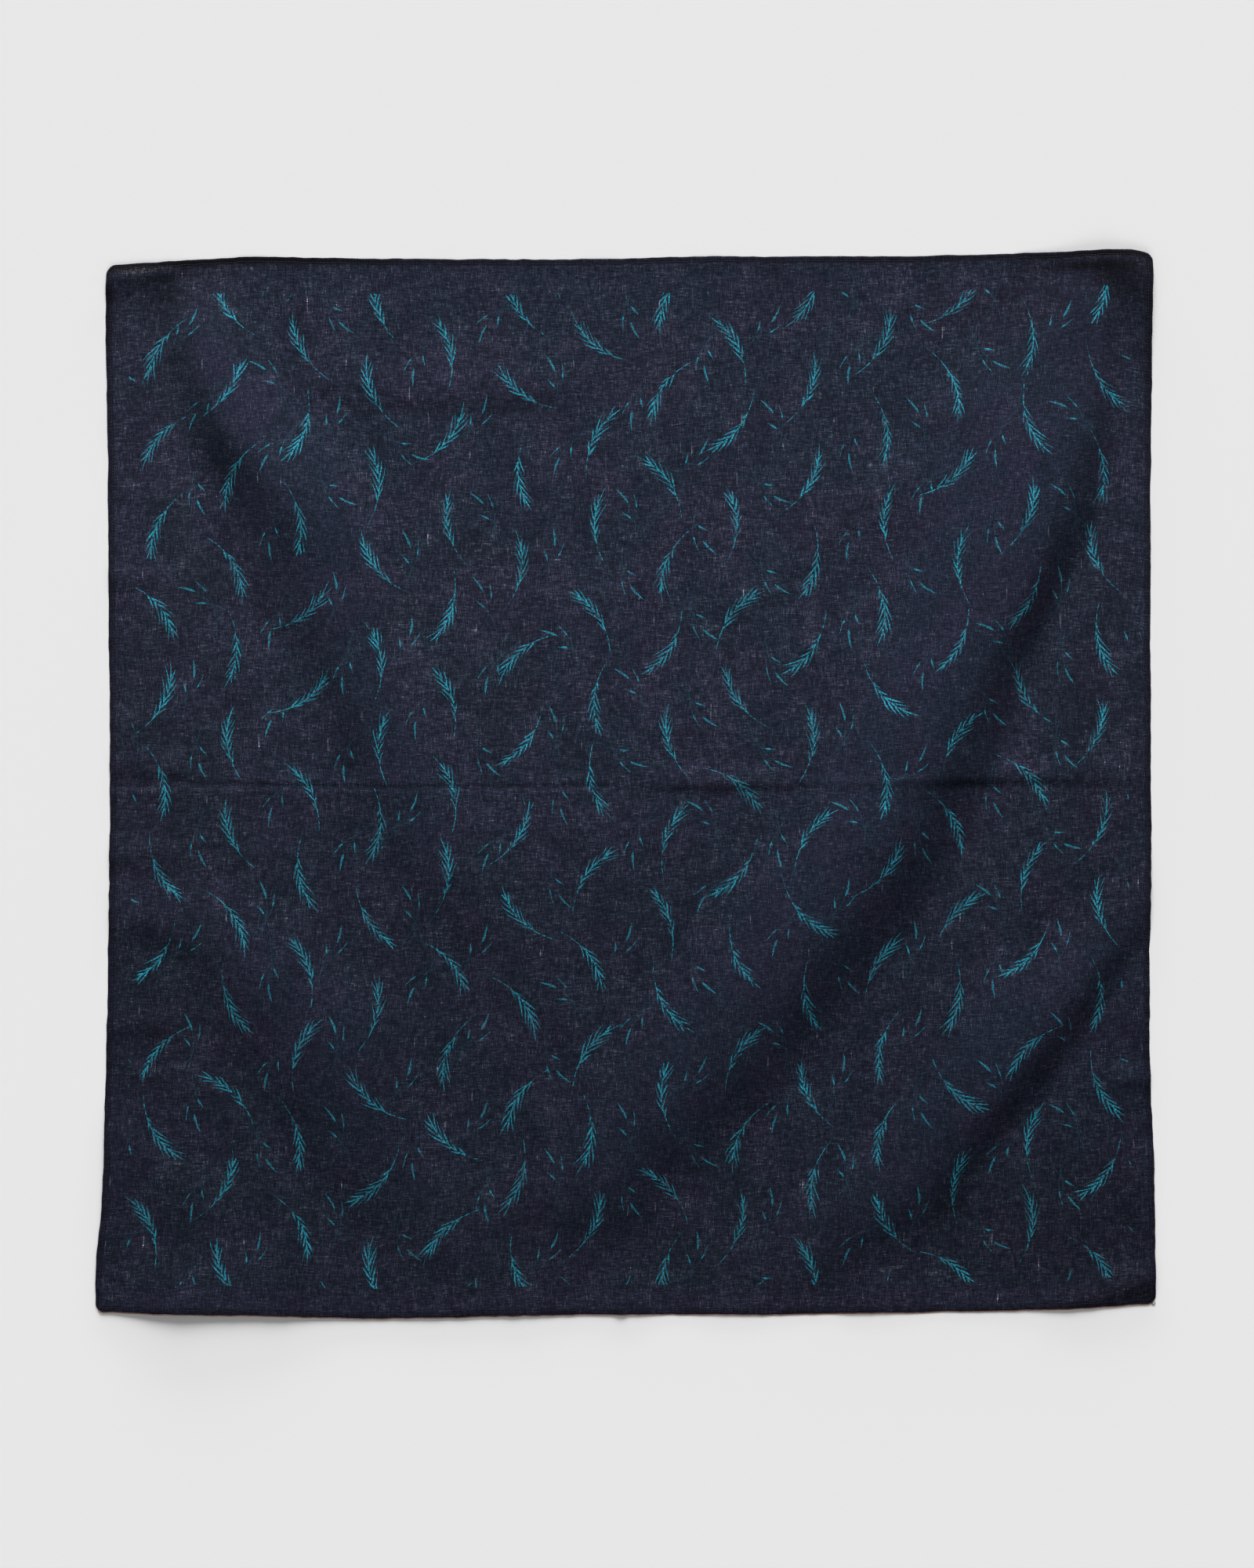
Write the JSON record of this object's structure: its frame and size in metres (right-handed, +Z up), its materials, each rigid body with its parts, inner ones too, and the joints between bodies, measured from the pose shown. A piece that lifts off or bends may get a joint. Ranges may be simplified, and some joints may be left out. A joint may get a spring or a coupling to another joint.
{
  "type": "bandana",
  "caption": "Square cotton bandana with a narrow stitched hem, laid flat and face up with soft slanting folds and a pressed crease across the middle.",
  "frame": {"origin": "centre of the plan box of the cloth, on the surface that it lies on", "axes": "+X to the right edge of the cloth, +Y to its top edge, +Z up, out of its printed face"},
  "size_m": [0.5406, 0.5446, 0.0151],
  "materials": {
    "cotton": "matt plain-woven cotton, navy, printed in teal on its face",
    "thread": "matt sewing thread, dark navy"
  },
  "bodies": {
    "root": {"bandana": "cotton"}
  },
  "joints": []
}
